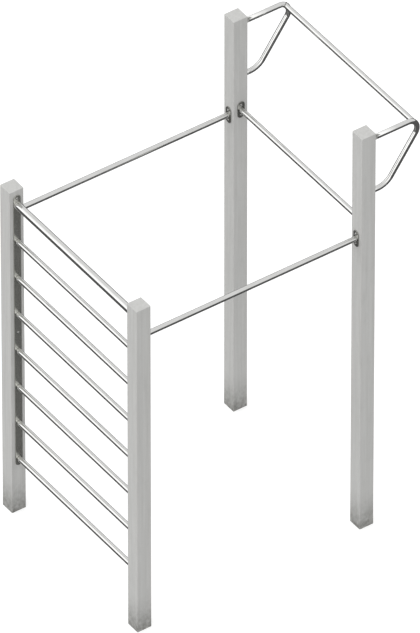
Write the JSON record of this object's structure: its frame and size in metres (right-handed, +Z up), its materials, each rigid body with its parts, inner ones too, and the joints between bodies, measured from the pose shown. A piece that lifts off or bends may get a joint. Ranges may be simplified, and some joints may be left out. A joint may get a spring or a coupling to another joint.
{
  "type": "monkey bars",
  "caption": "Four square grey posts joined by a wall ladder of steel rungs, two side bars, a cross bar and a raised pull-up bar on bent brackets.",
  "frame": {"origin": "at ground level, in the middle of the whole footprint (the box of the four posts and the two brackets)", "axes": "+X along the rungs, +Y from the ladder to the pull-up bar, +Z up; seen from the ladder side, left is -X"},
  "size_m": [1.4, 2.0447, 3.015],
  "materials": {
    "post_plastic": "matte, light grey, faintly streaked along its length",
    "core_steel": "hot-dip galvanised, dull",
    "bar_steel": "ground and polished stainless tube",
    "plate_steel": "smooth polished stainless plate",
    "flange_steel": "smooth stainless plate",
    "screw_steel": "plain stainless",
    "insert_steel": "zinc-plated"
  },
  "bodies": {
    "root": {"post_front_left": "post_plastic", "post_front_right": "post_plastic", "post_back_left": "post_plastic", "post_back_right": "post_plastic", "core_front_left": "core_steel", "core_front_right": "core_steel", "core_back_left": "core_steel", "core_back_right": "core_steel", "ladder_top_bar": "bar_steel", "ladder_rung_1": "bar_steel", "ladder_rung_2": "bar_steel", "ladder_rung_3": "bar_steel", "ladder_rung_4": "bar_steel", "ladder_rung_5": "bar_steel", "ladder_rung_6": "bar_steel", "ladder_rung_7": "bar_steel", "side_bar_left": "bar_steel", "side_bar_right": "bar_steel", "cross_bar": "bar_steel", "pull_up_bar": "bar_steel", "bracket_left": "bar_steel", "bracket_right": "bar_steel", "ladder_plate_left": "plate_steel", "ladder_plate_right": "plate_steel", "side_bar_left_flange_front": "flange_steel", "side_bar_left_flange_back": "flange_steel", "side_bar_right_flange_front": "flange_steel", "side_bar_right_flange_back": "flange_steel", "cross_bar_flange_left": "flange_steel", "cross_bar_flange_right": "flange_steel", "bracket_left_flange_upper": "flange_steel", "bracket_left_flange_lower": "flange_steel", "bracket_right_flange_upper": "flange_steel", "bracket_right_flange_lower": "flange_steel", "ladder_screws_left": "screw_steel", "ladder_screws_right": "screw_steel", "side_bar_screws_left": "screw_steel", "side_bar_screws_right": "screw_steel", "cross_bar_screws": "screw_steel", "bracket_screws_left": "screw_steel", "bracket_screws_right": "screw_steel", "ladder_inserts_left": "insert_steel", "ladder_inserts_right": "insert_steel", "side_bar_inserts_left": "insert_steel", "side_bar_inserts_right": "insert_steel", "cross_bar_inserts": "insert_steel", "bracket_inserts_left": "insert_steel", "bracket_inserts_right": "insert_steel"}
  },
  "joints": []
}
